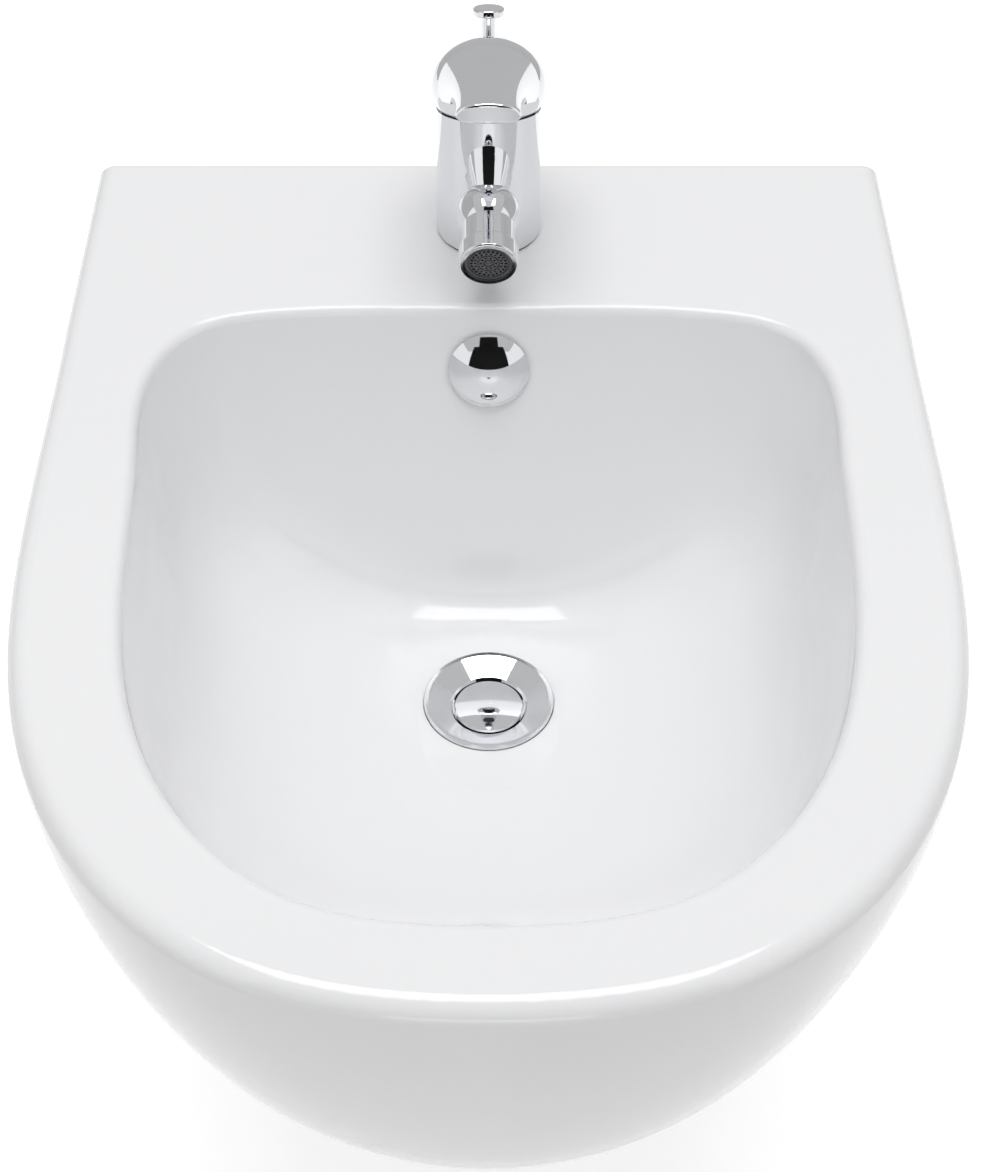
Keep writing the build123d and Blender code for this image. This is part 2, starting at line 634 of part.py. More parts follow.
# Mixer body: leaning seam at the top, short neck towards the nozzle, bores and threads
body_foot = rim_height + base_gasket_thickness
chamber_floor = cartridge_top - cartridge_length
neck_root = Vector(0, -neck_root_reach, rim_height + neck_root_height)
neck_run = (neck_root - ball_centre).length
neck_plane = Plane(origin=ball_centre, x_dir=(1, 0, 0), z_dir=neck_root - ball_centre)
shank_end = ball_radius + ball_shank_length
with BuildPart() as mixer_body:
    with BuildSketch(Plane.XY.offset(body_foot)):
        with Locations((0, tap_y)):
            Circle(body_base_diameter / 2)
    with BuildSketch(Plane.XY.offset(rim_height + seam_height + 10)):
        with Locations((0, tap_y)):
            Circle(body_top_diameter / 2)
    loft(ruled=True)
    with BuildSketch(pivot_plane.offset(-seam_gap)):
        Rectangle(80, 80)
    extrude(amount=40, mode=Mode.SUBTRACT)
    with BuildSketch(neck_plane.offset(neck_run)):
        Circle(neck_root_radius)
    with BuildSketch(neck_plane.offset((neck_run + neck_end_setback) / 2)):
        Circle(neck_middle_radius)
    with BuildSketch(neck_plane.offset(neck_end_setback)):
        Circle(neck_end_radius)
    loft()
    with BuildSketch(pivot_plane.offset(chamber_floor)):
        Circle(cartridge_diameter / 2 + running_clearance)
    extrude(amount=60, mode=Mode.SUBTRACT)
    with BuildSketch(pivot_plane.offset(cartridge_top - cartridge_nut_height)):
        Circle(cartridge_nut_outer / 2 + running_clearance)
    extrude(amount=60, mode=Mode.SUBTRACT)
    with BuildSketch(neck_plane):
        Circle(ball_shank_diameter / 2 + running_clearance)
    extrude(amount=shank_end, mode=Mode.SUBTRACT)
    with BuildSketch(neck_plane):
        Circle(passage_diameter / 2)
    extrude(amount=shank_end + passage_drop, mode=Mode.SUBTRACT)
    with Locations(nozzle_plane):
        Sphere(ball_radius + running_clearance, mode=Mode.SUBTRACT)
    with BuildSketch(Plane.XY.offset(body_foot)):
        with Locations(
            (-inlet_offset, tap_y + inlet_advance), (inlet_offset, tap_y + inlet_advance)
        ):
            Circle(inlet_thread / 2)
    extrude(amount=inlet_depth, mode=Mode.SUBTRACT)
    with BuildSketch(Plane.XY.offset(body_foot)):
        with Locations(
            (-inlet_offset, tap_y + inlet_advance), (inlet_offset, tap_y + inlet_advance)
        ):
            Circle(passage_diameter / 2)
    extrude(amount=seam_height - cartridge_length, mode=Mode.SUBTRACT)
    with BuildSketch(Plane.XY.offset(body_foot)):
        with Locations((0, tap_y - stud_advance)):
            Circle(stud_diameter / 2 + running_clearance)
    extrude(amount=stud_engagement, mode=Mode.SUBTRACT)
    with BuildSketch(rod_plane.offset(-10)):
        Circle(rod_hole / 2)
    extrude(amount=80, mode=Mode.SUBTRACT)
finish(mixer_body, "mixer_body")

with BuildPart() as base_gasket:
    with BuildSketch(Plane.XY.offset(rim_height)):
        with Locations((0, tap_y)):
            Circle(body_base_diameter / 2 - 0.6)
            Circle(tap_hole / 2 + 0.5, mode=Mode.SUBTRACT)
    extrude(amount=base_gasket_thickness)
finish(base_gasket, "mixer_base_gasket")

# Mixer fixing: stud, horseshoe seal and washer, nut, all under the ledge
ledge_under = rim_height - ledge_thickness
stud_y = tap_y - stud_advance
horseshoe_radius = 24.0
horseshoe_gap = 15.5         # half width of the opening for the hoses and the rod
horseshoe_reach = 6.5        # tap axis to the closed end of the opening
seal_thickness = 3.0
plate_thickness = 2.5


def horseshoe(top, thickness):
    """A disc under the tap hole, open towards the wall, with a hole for the stud."""
    with BuildPart() as shoe:
        with BuildSketch(Plane.XY.offset(top)):
            with Locations((0, tap_y)):
                Circle(horseshoe_radius)
            with Locations((0, tap_y - horseshoe_reach + horseshoe_radius)):
                Rectangle(2 * horseshoe_gap, 2 * horseshoe_radius, mode=Mode.SUBTRACT)
            with Locations((0, stud_y)):
                Circle(stud_diameter / 2 + slip_clearance, mode=Mode.SUBTRACT)
        extrude(amount=-thickness)
    return shoe.part


with BuildPart() as horseshoe_seal:
    add(horseshoe(ledge_under, seal_thickness))
finish(horseshoe_seal, "mixer_fixing_seal")
with BuildPart() as horseshoe_plate:
    add(horseshoe(ledge_under - seal_thickness, plate_thickness))
finish(horseshoe_plate, "mixer_fixing_plate")

with BuildPart() as mixer_stud:
    with BuildSketch(Plane.XY.offset(body_foot + stud_engagement)):
        with Locations((0, stud_y)):
            Circle(stud_diameter / 2)
    extrude(amount=-stud_length)
    chamfer(mixer_stud.faces().sort_by(Axis.Z)[0].edges(), length=1)
finish(mixer_stud, "mixer_stud")

stud_nut_across = 13.0
stud_nut_height = 14.0
with BuildPart() as stud_nut:
    with BuildSketch(Plane.XY.offset(ledge_under - seal_thickness - plate_thickness)):
        with Locations((0, stud_y)):
            RegularPolygon(stud_nut_across / 2, 6, major_radius=False)
            Circle(stud_diameter / 2 + running_clearance, mode=Mode.SUBTRACT)
    extrude(amount=-stud_nut_height)
finish(stud_nut, "mixer_stud_nut")

# Cartridge: housing, threaded ring, the rotor that turns and the spindle that tilts in it
cartridge_half = cartridge_diameter / 2
nut_foot = cartridge_top - cartridge_nut_height
with BuildPart() as cartridge:
    with BuildSketch(pivot_plane.offset(chamber_floor)):
        Circle(cartridge_half)
    extrude(amount=cartridge_length - cartridge_nut_height)
    with BuildSketch(pivot_plane.offset(nut_foot)):
        Circle(cartridge_neck_diameter / 2)
    extrude(amount=cartridge_nut_height)
    with BuildSketch(pivot_plane.offset(cartridge_top - rotor_height)):
        Circle(rotor_diameter / 2 + running_clearance)
    extrude(amount=rotor_height, mode=Mode.SUBTRACT)
finish(cartridge, "cartridge")

with BuildPart() as cartridge_ring:
    with BuildSketch(pivot_plane.offset(nut_foot)):
        Circle(cartridge_nut_outer / 2)
        Circle(cartridge_nut_bore / 2, mode=Mode.SUBTRACT)
    extrude(amount=cartridge_nut_height - 1)
    with BuildSketch(pivot_plane.offset(cartridge_top - 1.8)):
        with PolarLocations(cartridge_nut_outer / 2, 6):
            Rectangle(5, 3)
    extrude(amount=3, mode=Mode.SUBTRACT)
finish(cartridge_ring, "cartridge_ring")

slot_half = spindle_side / 2 + 0.25
with BuildPart() as cartridge_rotor:
    with BuildSketch(pivot_plane.offset(cartridge_top - rotor_height)):
        Circle(rotor_diameter / 2)
    extrude(amount=rotor_height + 1.0)
    with BuildSketch(pivot_plane.offset(cartridge_top - rotor_height + 1.5)):
        Rectangle(2 * slot_half, rotor_diameter - 2.4)
    extrude(amount=rotor_height + 2, mode=Mode.SUBTRACT)
finish(cartridge_rotor, "cartridge_rotor")

with BuildPart() as spindle:
    with BuildSketch(pivot_plane.offset(-spindle_tail)):
        RectangleRounded(spindle_side, spindle_side, 0.6)
    extrude(amount=spindle_tail + spindle_reach)
finish(spindle, "cartridge_spindle")

# Shroud: chromed dome over the cartridge, the handle's skirt slides round it
with BuildPart() as shroud:
    with BuildSketch(handle_profile):
        with BuildLine():
            low = -seam_gap
            inner = shroud_radius - shroud_wall
            mouth = sqrt(shroud_radius ** 2 - shroud_top ** 2)
            inner_mouth = sqrt(inner ** 2 - (shroud_top - 0.6) ** 2)
            half_way = shroud_radius * sin(radians(70)), shroud_radius * cos(radians(70))
            inner_half_way = inner * sin(radians(70)), inner * cos(radians(70))
            outer_low = (sqrt(shroud_radius ** 2 - low ** 2), low)
            inner_low = (sqrt(inner ** 2 - low ** 2), low)
            ThreePointArc(outer_low, half_way, (mouth, shroud_top))
            Line((mouth, shroud_top), (inner_mouth, shroud_top - 0.6))
            ThreePointArc((inner_mouth, shroud_top - 0.6), inner_half_way, inner_low)
            Line(inner_low, outer_low)
        make_face()
    revolve(axis=handle_axis)
finish(shroud, "cartridge_shroud")


def handle_section(advance, half, rise, centre, foot):
    """Rounded section across the handle, flat underneath, ahead of the pivot axis."""
    dip = (foot - centre) / rise
    foot_half = half * sqrt(1 - dip ** 2)
    section_plane = Plane(
        origin=pivot_plane.origin - pivot_plane.y_dir * advance,
        x_dir=(1, 0, 0),
        z_dir=-pivot_plane.y_dir,
    )
    with BuildSketch(section_plane) as outline:
        with BuildLine():
            start = (foot_half, foot)
            end = (-foot_half, foot)
            ring = [
                (half * cos(radians(turn)), centre + rise * sin(radians(turn)))
                for turn in (0, 30, 60, 90, 120, 150, 180)
            ]
            Spline(start, *ring, end)
            Line(end, start)
        make_face()
    return outline.sketch


# Handle: dome and lever in one casting, hollow below, with a hub for the spindle
skirt_foot = seam_gap
foot_turn = asin((skirt_foot - dome_centre) / dome_rise)
tip_foot = lever_tip_top - lever_tip_height
with BuildPart() as handle:
    with BuildSketch(handle_profile):
        with BuildLine():
            turns = [foot_turn + (pi / 2 - foot_turn) * step / 6 for step in range(7)]
            crown = [(dome_radius * cos(t), dome_centre + dome_rise * sin(t)) for t in turns]
            Spline(*crown[:-1], (0, dome_centre + dome_rise))
            Polyline((0, dome_centre + dome_rise), (0, skirt_foot), crown[0])
        make_face()
    revolve(axis=handle_axis)
    loft(
        sections=[
            handle_section(8, 22.6, 19.6, dome_centre + 0.2, 5.0),
            handle_section(26, 18.0, 13.0, 15.2, 9.0),
            handle_section(50, 14.0, 7.6, 19.6, 14.4),
            handle_section(lever_reach, lever_tip_width / 2, 5.6, 20.4, tip_foot),
        ]
    )
    with BuildSketch(Plane.XY.offset(rim_height + seam_height)):
        with Locations((0, -lever_tip_reach)):
            Rectangle(60, 50)
        with Locations((0, lever_tip_bow - lever_tip_reach)):
            Circle(lever_tip_bow, mode=Mode.SUBTRACT)
    extrude(amount=80, mode=Mode.SUBTRACT)
    tip_face = handle.faces().sort_by(Axis.Y)[0]
    fillet(tip_face.edges(), radius=1.2)
    with Locations(pivot_plane):
        Sphere(skirt_cavity_radius, mode=Mode.SUBTRACT)
    relief = Plane(
        origin=pivot_plane.origin + pivot_plane.z_dir * skirt_foot,
        x_dir=(1, 0, 0),
        z_dir=pivot_plane.z_dir.rotate(Axis((0, 0, 0), (1, 0, 0)), skirt_relief),
    )
    with BuildSketch(relief):
        with Locations((0, 30)):
            Rectangle(80, 60)
    extrude(amount=-20, mode=Mode.SUBTRACT)
    with BuildSketch(pivot_plane.offset(hub_bottom)):
        Circle(hub_radius)
    extrude(amount=skirt_cavity_radius - hub_bottom + 1)
    with BuildSketch(pivot_plane.offset(hub_bottom)):
        Rectangle(spindle_side + 0.1, spindle_side + 0.1)
    extrude(amount=spindle_reach - hub_bottom + 0.2, mode=Mode.SUBTRACT)
    grub_plane = Plane(
        origin=pivot_plane.origin + pivot_plane.z_dir * (spindle_reach - 5.0),
        x_dir=(1, 0, 0),
        z_dir=pivot_plane.y_dir,
    )
    with BuildSketch(grub_plane):
        Circle(grub_diameter / 2 + running_clearance)
    extrude(amount=40, mode=Mode.SUBTRACT)
finish(handle, "handle")

with BuildPart() as grub_screw:
    with BuildSketch(grub_plane.offset(spindle_side / 2)):
        Circle(grub_diameter / 2)
    extrude(amount=grub_length)
    with BuildSketch(grub_plane.offset(spindle_side / 2 + grub_length - 2.5)):
        RegularPolygon(1.25, 6, major_radius=False)
    extrude(amount=2.5, mode=Mode.SUBTRACT)
finish(grub_screw, "handle_grub_screw")

# Nozzle ball: hollow ball screwed into the neck, open in front
ball_inner = ball_radius - ball_wall
with BuildPart() as nozzle_ball:
    with Locations(nozzle_plane):
        Sphere(ball_radius)
    with BuildSketch(neck_plane):
        Circle(ball_shank_diameter / 2)
    extrude(amount=shank_end)
    with Locations(nozzle_plane):
        Sphere(ball_inner, mode=Mode.SUBTRACT)
    with BuildSketch(nozzle_plane):
        Circle(ball_mouth)
    extrude(amount=ball_radius + 1, mode=Mode.SUBTRACT)
    with BuildSketch(neck_plane):
        Circle(ball_shank_bore / 2)
    extrude(amount=shank_end, mode=Mode.SUBTRACT)
finish(nozzle_ball, "nozzle_ball")

# Nozzle seat: plastic ring inside the ball that the nozzle's tail turns in
seat_outer = ball_inner - 0.3
seat_bore = barrel_stem_diameter / 2 + running_clearance
seat_slot = 3.4              # the bore is this much longer upright, for the nozzle's tilt
with BuildPart() as nozzle_seat:
    with Locations(nozzle_plane):
        Sphere(seat_outer)
    with BuildSketch(nozzle_plane.offset(-seat_outer)):
        Circle(2 * seat_outer)
    extrude(amount=seat_outer + 1.5, mode=Mode.SUBTRACT)
    with BuildSketch(nozzle_plane.offset(6.5)):
        Circle(2 * seat_outer)
    extrude(amount=seat_outer, mode=Mode.SUBTRACT)
    with BuildSketch(nozzle_plane.offset(-seat_outer)):
        SlotCenterToCenter(seat_slot, 2 * seat_bore, rotation=90)
    extrude(amount=3 * seat_outer, mode=Mode.SUBTRACT)
finish(nozzle_seat, "nozzle_seat")

# Nozzle barrel: cups over the ball, its tail reaches through the mouth into the seat
barrel_front = cup_advance + barrel_length
with BuildPart() as nozzle_barrel:
    with BuildSketch(nozzle_plane.offset(cup_advance)):
        Circle(barrel_diameter / 2)
    extrude(amount=barrel_length)
    with Locations(nozzle_plane):
        Sphere(barrel_cup_radius, mode=Mode.SUBTRACT)
    with BuildSketch(nozzle_plane.offset(1.5)):
        Circle(barrel_stem_diameter / 2)
    extrude(amount=barrel_front - thread_depth - 2)
    with BuildSketch(nozzle_plane.offset(barrel_front - thread_depth)):
        Circle(10.0 + running_clearance)
    extrude(amount=thread_depth, mode=Mode.SUBTRACT)
    with BuildSketch(nozzle_plane.offset(1.5)):
        Circle(barrel_bore / 2)
    extrude(amount=barrel_front, mode=Mode.SUBTRACT)
finish(nozzle_barrel, "nozzle_barrel")

# Aerator: chromed collar, plastic insert with its rings of small openings, rubber washer
insert_recess = 0.9
collar_bore = aerator_diameter / 2 + 0.1
collar_front = barrel_front + collar_length
with BuildPart() as aerator_collar:
    with BuildSketch(nozzle_plane.offset(barrel_front)):
        Circle(collar_diameter / 2)
    extrude(amount=collar_length)
    fillet(aerator_collar.edges(), radius=0.9)
    with BuildSketch(nozzle_plane.offset(barrel_front - thread_depth + 1.4)):
        Circle(10.0)
    extrude(amount=thread_depth)
    with BuildSketch(nozzle_plane.offset(collar_front - insert_recess - aerator_head_depth)):
        Circle(collar_bore)
    extrude(amount=2 * aerator_head_depth, mode=Mode.SUBTRACT)
    with BuildSketch(nozzle_plane.offset(barrel_front - thread_depth)):
        Circle(aerator_tail_radius + 0.1)
    extrude(amount=2 * thread_depth, mode=Mode.SUBTRACT)
finish(aerator_collar, "aerator_collar")

insert_face = collar_front - insert_recess
aerator_half = aerator_diameter / 2
with BuildPart() as aerator_insert:
    with BuildSketch(nozzle_plane.offset(insert_face - aerator_depth)):
        Circle(aerator_tail_radius)
    extrude(amount=aerator_depth)
    with BuildSketch(nozzle_plane.offset(insert_face - aerator_head_depth)):
        Circle(aerator_half)
    extrude(amount=aerator_head_depth)
    with BuildSketch(nozzle_plane.offset(insert_face)):
        Circle(aerator_half - 1.4)
        Circle(aerator_half - 1.9, mode=Mode.SUBTRACT)
        Circle(aerator_half - 5.4)
        Circle(aerator_half - 5.9, mode=Mode.SUBTRACT)
        Circle(2.2)
        Circle(1.7, mode=Mode.SUBTRACT)
    extrude(amount=-0.6, mode=Mode.SUBTRACT)
    with BuildSketch(nozzle_plane.offset(insert_face)):
        with PolarLocations(aerator_half - 2.9, 24):
            Rectangle(1.1, 1.1)
        with PolarLocations(aerator_half - 4.5, 18):
            Rectangle(0.8, 0.8)
        with PolarLocations(3.2, 10):
            Rectangle(0.8, 0.8)
    extrude(amount=-1.5, mode=Mode.SUBTRACT)
finish(aerator_insert, "aerator_insert")

with BuildPart() as aerator_washer:
    with BuildSketch(nozzle_plane.offset(barrel_front - thread_depth)):
        Circle(9.9)
        Circle(6.0, mode=Mode.SUBTRACT)
    extrude(amount=1.4)
finish(aerator_washer, "aerator_washer")
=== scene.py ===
import math

import bmesh
import bpy
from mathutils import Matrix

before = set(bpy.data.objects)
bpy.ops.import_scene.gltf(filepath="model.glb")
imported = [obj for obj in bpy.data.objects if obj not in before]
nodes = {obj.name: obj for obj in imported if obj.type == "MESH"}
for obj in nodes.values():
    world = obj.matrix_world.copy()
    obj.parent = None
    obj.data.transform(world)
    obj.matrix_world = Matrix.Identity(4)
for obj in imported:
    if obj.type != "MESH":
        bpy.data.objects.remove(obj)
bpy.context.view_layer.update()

# The photographer's place: above the front of the bowl, looking down at it.
# A short telephoto, level from side to side.
lens_place = bpy.data.cameras.new("photographer")
lens_place.lens = 68.53
lens_place.sensor_width = 36.0
lens_place.clip_start = 0.05
photographer = bpy.data.objects.new("photographer", lens_place)
photographer.location = (0.0008, -0.8753, 0.6669)
photographer.rotation_euler = (math.radians(45.5), 0.0, 0.0)
bpy.context.scene.collection.objects.link(photographer)
bpy.context.scene.camera = photographer

# Ceramic basin: vitreous china, slip cast hollow in one piece, fired with a thick white glaze.
# The glaze is glossy and nearly even, with a very slight wave left by the firing.


def uneven_surface():
    """Slow patches and fine grain over a surface, given out as colour, roughness and height."""
    group = bpy.data.node_groups.new("uneven surface", "ShaderNodeTree")
    sockets = (
        ("Tone", "NodeSocketColor", (0.8, 0.8, 0.8, 1.0)),
        ("Patch Tone", "NodeSocketColor", (0.7, 0.7, 0.7, 1.0)),
        ("Patch Scale", "NodeSocketFloat", 20.0),
        ("Grain Scale", "NodeSocketFloat", 900.0),
        ("Grain Stretch", "NodeSocketVector", (1.0, 1.0, 1.0)),
        ("Smooth", "NodeSocketFloat", 0.1),
        ("Rough", "NodeSocketFloat", 0.3),
        ("Grain Share", "NodeSocketFloat", 0.5),
    )
    for name, kind, start in sockets:
        socket = group.interface.new_socket(name, in_out="INPUT", socket_type=kind)
        socket.default_value = start
    group.interface.new_socket("Colour", in_out="OUTPUT", socket_type="NodeSocketColor")
    group.interface.new_socket("Roughness", in_out="OUTPUT", socket_type="NodeSocketFloat")
    group.interface.new_socket("Height", in_out="OUTPUT", socket_type="NodeSocketFloat")
    place = group.nodes.new
    entry, leave = place("NodeGroupInput"), place("NodeGroupOutput")
    where = place("ShaderNodeTexCoord")
    stretch = place("ShaderNodeMapping")
    patches, grain = place("ShaderNodeTexNoise"), place("ShaderNodeTexNoise")
    patches.inputs["Detail"].default_value = 3.0
    grain.inputs["Detail"].default_value = 4.0
    blend, colour = place("ShaderNodeMix"), place("ShaderNodeMix")
    blend.data_type = "FLOAT"
    colour.data_type = "RGBA"
    rough = place("ShaderNodeMapRange")
    rough.inputs["From Min"].default_value = 0.3
    rough.inputs["From Max"].default_value = 0.7
    link = group.links.new
    link(where.outputs["Object"], patches.inputs["Vector"])
    link(where.outputs["Object"], stretch.inputs["Vector"])
    link(entry.outputs["Grain Stretch"], stretch.inputs["Scale"])
    link(stretch.outputs["Vector"], grain.inputs["Vector"])
    link(entry.outputs["Patch Scale"], patches.inputs["Scale"])
    link(entry.outputs["Grain Scale"], grain.inputs["Scale"])
    link(entry.outputs["Grain Share"], blend.inputs[0])
    link(patches.outputs["Fac"], blend.inputs[2])
    link(grain.outputs["Fac"], blend.inputs[3])
    link(blend.outputs[0], colour.inputs[0])
    link(entry.outputs["Tone"], colour.inputs[6])
    link(entry.outputs["Patch Tone"], colour.inputs[7])
    link(blend.outputs[0], rough.inputs["Value"])
    link(entry.outputs["Smooth"], rough.inputs["To Min"])
    link(entry.outputs["Rough"], rough.inputs["To Max"])
    link(colour.outputs[2], leave.inputs["Colour"])
    link(rough.outputs["Result"], leave.inputs["Roughness"])
    link(blend.outputs[0], leave.inputs["Height"])
    return group


surface_group = uneven_surface()


def finish_of(name, tone, patch_tone, patch, grain, smooth, rough, share, bump, metallic=0.0,
              stretch=(1.0, 1.0, 1.0)):
    """A finish made from the uneven surface, with its own tones, scales and gloss."""
    finish = bpy.data.materials.new(name)
    finish.use_nodes = True
    tree = finish.node_tree
    skin = tree.nodes["Principled BSDF"]
    surface = tree.nodes.new("ShaderNodeGroup")
    surface.node_tree = surface_group
    surface.inputs["Tone"].default_value = (*tone, 1.0)
    surface.inputs["Patch Tone"].default_value = (*patch_tone, 1.0)
    surface.inputs["Patch Scale"].default_value = patch
    surface.inputs["Grain Scale"].default_value = grain
    surface.inputs["Grain Stretch"].default_value = stretch
    surface.inputs["Smooth"].default_value = smooth
    surface.inputs["Rough"].default_value = rough
    surface.inputs["Grain Share"].default_value = share
    relief = tree.nodes.new("ShaderNodeBump")
    relief.inputs["Strength"].default_value = 1.0
    relief.inputs["Distance"].default_value = bump
    skin.inputs["Metallic"].default_value = metallic
    tree.links.new(surface.outputs["Colour"], skin.inputs["Base Color"])
    tree.links.new(surface.outputs["Roughness"], skin.inputs["Roughness"])
    tree.links.new(surface.outputs["Height"], relief.inputs["Height"])
    tree.links.new(relief.outputs["Normal"], skin.inputs["Normal"])
    return finish


def dress(finish, *names):
    """Give named pieces their finish."""
    for name in names:
        for slot in nodes[name].material_slots:
            slot.material = finish


def cut_thread(finish, centre, foot, top, pitch, depth):
    """Press a screw thread round an upright axis at y = centre into a finish, from foot to top."""
    tree = finish.node_tree
    skin = tree.nodes["Principled BSDF"]

    def step(operation, *values):
        node = tree.nodes.new("ShaderNodeMath")
        node.operation = operation
        for socket, value in zip(node.inputs, values):
            if isinstance(value, bpy.types.NodeSocket):
                tree.links.new(value, socket)
            else:
                socket.default_value = value
        return node.outputs[0]

    where, axes = tree.nodes.new("ShaderNodeTexCoord"), tree.nodes.new("ShaderNodeSeparateXYZ")
    tree.links.new(where.outputs["Object"], axes.inputs[0])
    turn = step("ARCTAN2", step("SUBTRACT", axes.outputs["Y"], centre), axes.outputs["X"])
    rise = step("ADD", step("DIVIDE", axes.outputs["Z"], pitch), step("DIVIDE", turn, math.tau))
    ridge = step("PINGPONG", rise, 0.5)
    inside = step("MULTIPLY", step("GREATER_THAN", axes.outputs["Z"], foot),
                  step("LESS_THAN", axes.outputs["Z"], top))
    relief = tree.nodes.new("ShaderNodeBump")
    relief.inputs["Distance"].default_value = 2 * depth
    tree.links.new(step("MULTIPLY", ridge, inside), relief.inputs["Height"])
    tree.links.new(skin.inputs["Normal"].links[0].from_socket, relief.inputs["Normal"])
    tree.links.new(relief.outputs["Normal"], skin.inputs["Normal"])


glaze = finish_of("white glaze", (0.89, 0.893, 0.90), (0.87, 0.873, 0.885), 9.0, 260.0,
                  0.05, 0.09, 0.15, 0.00012)
dress(glaze, "ceramic_basin")

# The back of the basin is ground flat after firing, which leaves bare clay against the wall.
bare_clay, bare_gloss, bare_depth = (0.74, 0.70, 0.63, 1.0), 0.7, -0.0006
clay_tree = glaze.node_tree
clay_skin = clay_tree.nodes["Principled BSDF"]
clay_where = clay_tree.nodes.new("ShaderNodeTexCoord")
clay_axes = clay_tree.nodes.new("ShaderNodeSeparateXYZ")
ground = clay_tree.nodes.new("ShaderNodeMath")
ground.operation = "GREATER_THAN"
ground.inputs[1].default_value = bare_depth
clay_tree.links.new(clay_where.outputs["Object"], clay_axes.inputs[0])
clay_tree.links.new(clay_axes.outputs["Y"], ground.inputs[0])
clay_colour, clay_gloss = clay_tree.nodes.new("ShaderNodeMix"), clay_tree.nodes.new("ShaderNodeMix")
clay_colour.data_type = "RGBA"
clay_colour.inputs[7].default_value = bare_clay
clay_gloss.inputs[3].default_value = bare_gloss
for mix, first, target in ((clay_colour, 6, "Base Color"), (clay_gloss, 2, "Roughness")):
    clay_tree.links.new(ground.outputs[0], mix.inputs[0])
    clay_tree.links.new(clay_skin.inputs[target].links[0].from_socket, mix.inputs[first])
    clay_tree.links.new(mix.outputs[2 if mix is clay_colour else 0], clay_skin.inputs[target])

# Fixing sleeves: flanged bushes in the wall pads, moulded in white plastic.
# The mould leaves a fine grain, and the plastic yellows a little in patches.
moulded = finish_of("moulded white plastic", (0.78, 0.78, 0.75), (0.70, 0.70, 0.66), 40.0,
                    1400.0, 0.38, 0.55, 0.6, 0.00004)
dress(moulded, "fixing_sleeve_left", "fixing_sleeve_right")

# Overflow: a plastic lining in the hole behind a domed brass cap on three prongs.
# The cap is polished and chromium plated, with faint hazy patches left by water.
chrome = finish_of("chromium plate", (0.80, 0.81, 0.83), (0.74, 0.75, 0.77), 28.0, 700.0,
                   0.02, 0.06, 0.3, 0.00001, metallic=1.0)
dress(moulded, "overflow_lining")
dress(chrome, "overflow_cap")

# Pop-up waste: dished flange, lower body with its side port, plug, and the nut that clamps them.
# The visible brass is plated; the nut is bare, with the rings of the lathe tool on it.
brass = finish_of("turned brass", (0.70, 0.53, 0.25), (0.58, 0.42, 0.19), 60.0, 400.0,
                  0.22, 0.42, 0.7, 0.00003, metallic=1.0, stretch=(0.2, 0.2, 6.0))
rubber = finish_of("black rubber", (0.025, 0.025, 0.027), (0.055, 0.054, 0.052), 70.0, 1200.0,
                   0.55, 0.8, 0.5, 0.00006)
steel = finish_of("zinc plated steel", (0.60, 0.61, 0.62), (0.45, 0.46, 0.47), 90.0, 500.0,
                  0.25, 0.45, 0.5, 0.00003, metallic=1.0, stretch=(1.0, 1.0, 3.0))
threaded_chrome = finish_of("chromium plate, threaded tail", (0.80, 0.81, 0.83),
                            (0.74, 0.75, 0.77), 28.0, 700.0, 0.04, 0.10, 0.3, 0.00001,
                            metallic=1.0)
cut_thread(threaded_chrome, -0.202, -0.1626, -0.1456, 0.0023, 0.0007)
dress(chrome, "waste_flange", "waste_port_cap", "waste_plug")
dress(threaded_chrome, "waste_body")
dress(brass, "waste_back_nut")
dress(rubber, "waste_flange_gasket", "waste_cone_washer", "waste_plug_seal")
dress(steel, "waste_ball_rod")

# Lift rod: a thin plated rod through the ledge behind the mixer, with its knob on top.
# Below the ledge a plated clamp and a zinc plated screw hold the ball rod to it.
dress(chrome, "lift_rod", "lift_knob", "rod_clamp")
dress(steel, "rod_clamp_screw")

# Mixer body: a plated brass casting on a rubber gasket, held under the ledge by one stud.
# The stud is threaded steel; a bent steel plate, a seal and a brass nut pull it down.
threaded_steel = finish_of("zinc plated steel, threaded", (0.60, 0.61, 0.62),
                           (0.45, 0.46, 0.47), 90.0, 500.0, 0.25, 0.45, 0.5, 0.00003,
                           metallic=1.0)
cut_thread(threaded_steel, -0.0605, 0.0355, 0.0930, 0.00125, 0.0005)
dress(chrome, "mixer_body")
dress(rubber, "mixer_base_gasket", "mixer_fixing_seal")
dress(steel, "mixer_fixing_plate")
dress(threaded_steel, "mixer_stud")
dress(brass, "mixer_stud_nut")

# Cartridge: white plastic valve with its rotor, a brass spindle and a brass screw ring.
# A plated shroud hides it; the shroud shows only while the handle is lifted.
dress(moulded, "cartridge", "cartridge_rotor")
dress(brass, "cartridge_ring", "cartridge_spindle")
dress(chrome, "cartridge_shroud")

# Handle: dome and lever in one plated casting, locked to the spindle by a grub screw.
dress(chrome, "handle")
dress(steel, "handle_grub_screw")

# Swivel nozzle: plated ball and barrel with a plastic seat ring between them.
# The collar holds a dark grey aerator, moulded with rings of small openings, on a washer.
aerator_plastic = finish_of("aerator plastic", (0.10, 0.10, 0.105), (0.06, 0.06, 0.065), 80.0,
                            1500.0, 0.3, 0.45, 0.5, 0.00003)
dress(chrome, "nozzle_ball", "nozzle_barrel", "aerator_collar")
dress(moulded, "nozzle_seat")
dress(aerator_plastic, "aerator_insert")
dress(rubber, "aerator_washer")


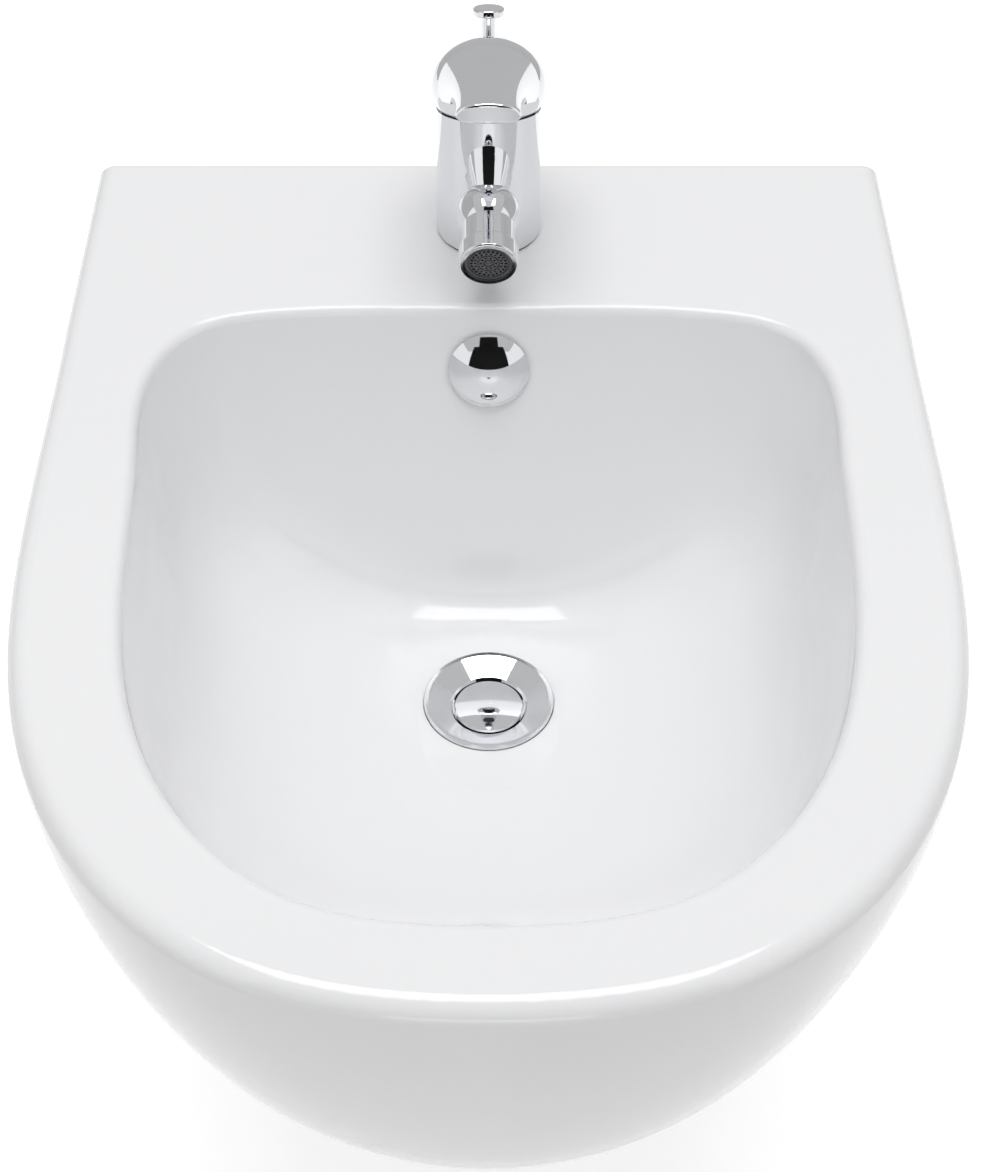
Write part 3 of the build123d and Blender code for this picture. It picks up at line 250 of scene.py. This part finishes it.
# The studio: a plain pale floor in a grey room, with one large soft light overhead.
# Its dark side is behind the photographer; bright air to the left and right of that is what
# the plating mirrors as tall white bands.
def panel(name, corners, tone, mirrored, cast):
    """A flat staged panel out of the camera's sight: mirrors see one glow, matt surfaces another."""
    mesh = bpy.data.meshes.new(name)
    sheet = bmesh.new()
    sheet.faces.new([sheet.verts.new(corner) for corner in corners])
    sheet.to_mesh(mesh)
    sheet.free()
    board = bpy.data.objects.new(name, mesh)
    bpy.context.scene.collection.objects.link(board)
    paint = bpy.data.materials.new(name)
    paint.use_nodes = True
    tree = paint.node_tree
    skin = tree.nodes["Principled BSDF"]
    skin.inputs["Base Color"].default_value = (tone, tone, tone, 1.0)
    skin.inputs["Roughness"].default_value = 0.9
    skin.inputs["Specular IOR Level"].default_value = 0.0
    skin.inputs["Emission Color"].default_value = (1.0, 1.0, 1.0, 1.0)
    ray, glow = tree.nodes.new("ShaderNodeLightPath"), tree.nodes.new("ShaderNodeMapRange")
    glow.inputs["To Min"].default_value = mirrored
    glow.inputs["To Max"].default_value = cast
    tree.links.new(ray.outputs["Is Diffuse Ray"], glow.inputs["Value"])
    tree.links.new(glow.outputs["Result"], skin.inputs["Emission Strength"])
    mesh.materials.append(paint)
    board.visible_camera = False
    return board


room_half, rear_y, dark_y, dark_half = 3.0, 2.2, -2.2, 1.6
floor_z, ceiling_z, canopy_z = -0.32, 2.4, 2.35
side_x, side_front_y = 2.6, -0.5
canopy_front_half, canopy_rear_half, canopy_rear_y = 1.0, 0.7, -1.1


def level_square(z):
    """The corners of a level square as wide as the room."""
    return [(-room_half, -room_half, z), (room_half, -room_half, z), (room_half, room_half, z),
            (-room_half, room_half, z)]


def upright(first, second):
    """The corners of an upright panel from the floor to the ceiling between two plan points."""
    return [(*first, floor_z), (*second, floor_z), (*second, ceiling_z), (*first, ceiling_z)]


floor = panel("studio_floor", level_square(floor_z), 0.8, 0.55, 0.0)
floor.visible_camera = True
panel("grey_ceiling", level_square(ceiling_z), 0.3, 0.44, 0.42)
panel("grey_rear_wall", upright((-room_half, rear_y), (room_half, rear_y)), 0.3, 0.35, 0.40)
panel("dark_side", upright((-dark_half, dark_y), (dark_half, dark_y)), 0.02, 0.0, 0.52)
panel("dark_canopy", [(-canopy_front_half, dark_y, canopy_z), (canopy_front_half, dark_y, canopy_z),
                      (canopy_rear_half, canopy_rear_y, canopy_z),
                      (-canopy_rear_half, canopy_rear_y, canopy_z)], 0.02, 0.0, 0.52)
for side in (-side_x, side_x):
    panel("grey_side_wall", upright((side, side_front_y), (side, rear_y)), 0.3, 0.32, 0.45)


def soft_light(name, width, depth, watts, place, turn):
    """A rectangular soft light, facing straight down until it is turned about the X axis."""
    lamp = bpy.data.lights.new(name, "AREA")
    lamp.shape = "RECTANGLE"
    lamp.size = width
    lamp.size_y = depth
    lamp.energy = watts
    stand = bpy.data.objects.new(name, lamp)
    stand.location = place
    stand.rotation_euler = (math.radians(turn), 0.0, 0.0)
    bpy.context.scene.collection.objects.link(stand)


soft_light("overhead_soft_box", 1.3, 0.8, 13.8, (0.0, -0.25, 1.7), 0.0)
soft_light("low_front_fill", 0.8, 0.25, 1.8, (0.0, -1.9, -0.1), 90.0)

room = bpy.data.worlds.new("studio air")
room.use_nodes = True
air = room.node_tree
backdrop = air.nodes["Background"]
backdrop.inputs["Color"].default_value = (1.0, 1.0, 1.0, 1.0)
sight = air.nodes.new("ShaderNodeLightPath")
seen = air.nodes.new("ShaderNodeMath")
seen.operation = "MAXIMUM"
shown = air.nodes.new("ShaderNodeMath")
shown.operation = "MAXIMUM"
level = air.nodes.new("ShaderNodeMapRange")
level.inputs["To Min"].default_value = 0.41
level.inputs["To Max"].default_value = 1.0
air.links.new(sight.outputs["Is Camera Ray"], seen.inputs[0])
air.links.new(sight.outputs["Is Glossy Ray"], seen.inputs[1])
air.links.new(seen.outputs[0], shown.inputs[0])
air.links.new(sight.outputs["Is Transmission Ray"], shown.inputs[1])
air.links.new(shown.outputs[0], level.inputs["Value"])
air.links.new(level.outputs["Result"], backdrop.inputs["Strength"])
bpy.context.scene.world = room
bpy.context.scene.view_settings.view_transform = "Standard"
